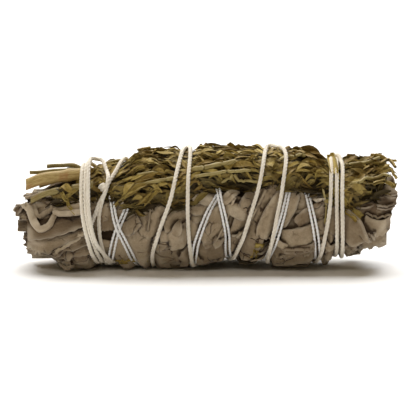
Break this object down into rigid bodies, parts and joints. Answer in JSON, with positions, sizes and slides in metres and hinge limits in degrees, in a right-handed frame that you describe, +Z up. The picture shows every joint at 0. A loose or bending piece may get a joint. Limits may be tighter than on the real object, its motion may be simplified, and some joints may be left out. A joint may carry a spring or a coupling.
{
  "type": "sage bunch",
  "caption": "Bundle of dried white sage leaves with sprigs of green herb along its upper side, bound with cotton string; it lies on its side.",
  "frame": {"origin": "on the floor, under the middle of the bunch as it lies", "axes": "+X along the bunch from its cut stems to its leafy end, +Z up, -Y towards the side where the sage shows most"},
  "size_m": [0.1146, 0.0466, 0.0382],
  "materials": {
    "white_sage": "dry felted leaf, grey-beige, dark in the folds",
    "green_herb": "dry olive-green small leaves, curled",
    "dry_stem": "dry tan stem with fine grain",
    "cotton_string": "twisted cream cotton, matte",
    "white_thread": "thin twisted white thread, matte"
  },
  "bodies": {
    "root": {"cotton_string": "cotton_string", "herb_sprig_1": "green_herb", "herb_sprig_2": "green_herb", "herb_sprig_3": "green_herb", "herb_sprig_4": "green_herb", "herb_sprig_5": "green_herb", "herb_sprig_6": "green_herb", "herb_sprig_7": "green_herb", "herb_sprig_8": "green_herb", "sage_leaf_back_left": "white_sage", "sage_leaf_back_left_end": "white_sage", "sage_leaf_back_left_low": "white_sage", "sage_leaf_back_middle": "white_sage", "sage_leaf_back_right": "white_sage", "sage_leaf_back_right_end": "white_sage", "sage_leaf_back_under": "white_sage", "sage_leaf_band_brown": "white_sage", "sage_leaf_end_fold": "white_sage", "sage_leaf_end_low": "white_sage", "sage_leaf_end_pointed": "white_sage", "sage_leaf_end_tip": "white_sage", "sage_leaf_front_broad": "white_sage", "sage_leaf_front_low": "white_sage", "sage_leaf_front_pointed": "white_sage", "sage_leaf_front_small": "white_sage", "sage_leaf_front_square": "white_sage", "sage_leaf_left_dark": "white_sage", "sage_leaf_left_front": "white_sage", "sage_leaf_left_tongue": "white_sage", "sage_leaf_left_top": "white_sage", "sage_leaf_left_under": "white_sage", "sage_leaf_long_slant": "white_sage", "sage_leaf_middle_high": "white_sage", "sage_leaf_middle_level": "white_sage", "sage_leaf_middle_low": "white_sage", "sage_leaf_middle_slant": "white_sage", "sage_leaf_right_dark": "white_sage", "sage_leaf_right_level": "white_sage", "sage_leaf_right_lowest": "white_sage", "sage_leaf_second_slant": "white_sage", "sage_leaf_top_left_end": "white_sage", "sage_leaf_top_right_end": "white_sage", "sage_leaf_under_left": "white_sage", "sage_leaf_under_middle_left": "white_sage", "sage_leaf_under_right": "white_sage", "thin_stem_back": "dry_stem", "thin_stem_high": "dry_stem", "thin_stem_low": "dry_stem", "thin_stem_middle": "dry_stem", "white_sage_heart": "white_sage", "white_thread": "white_thread", "woody_stem": "dry_stem"}
  },
  "joints": []
}
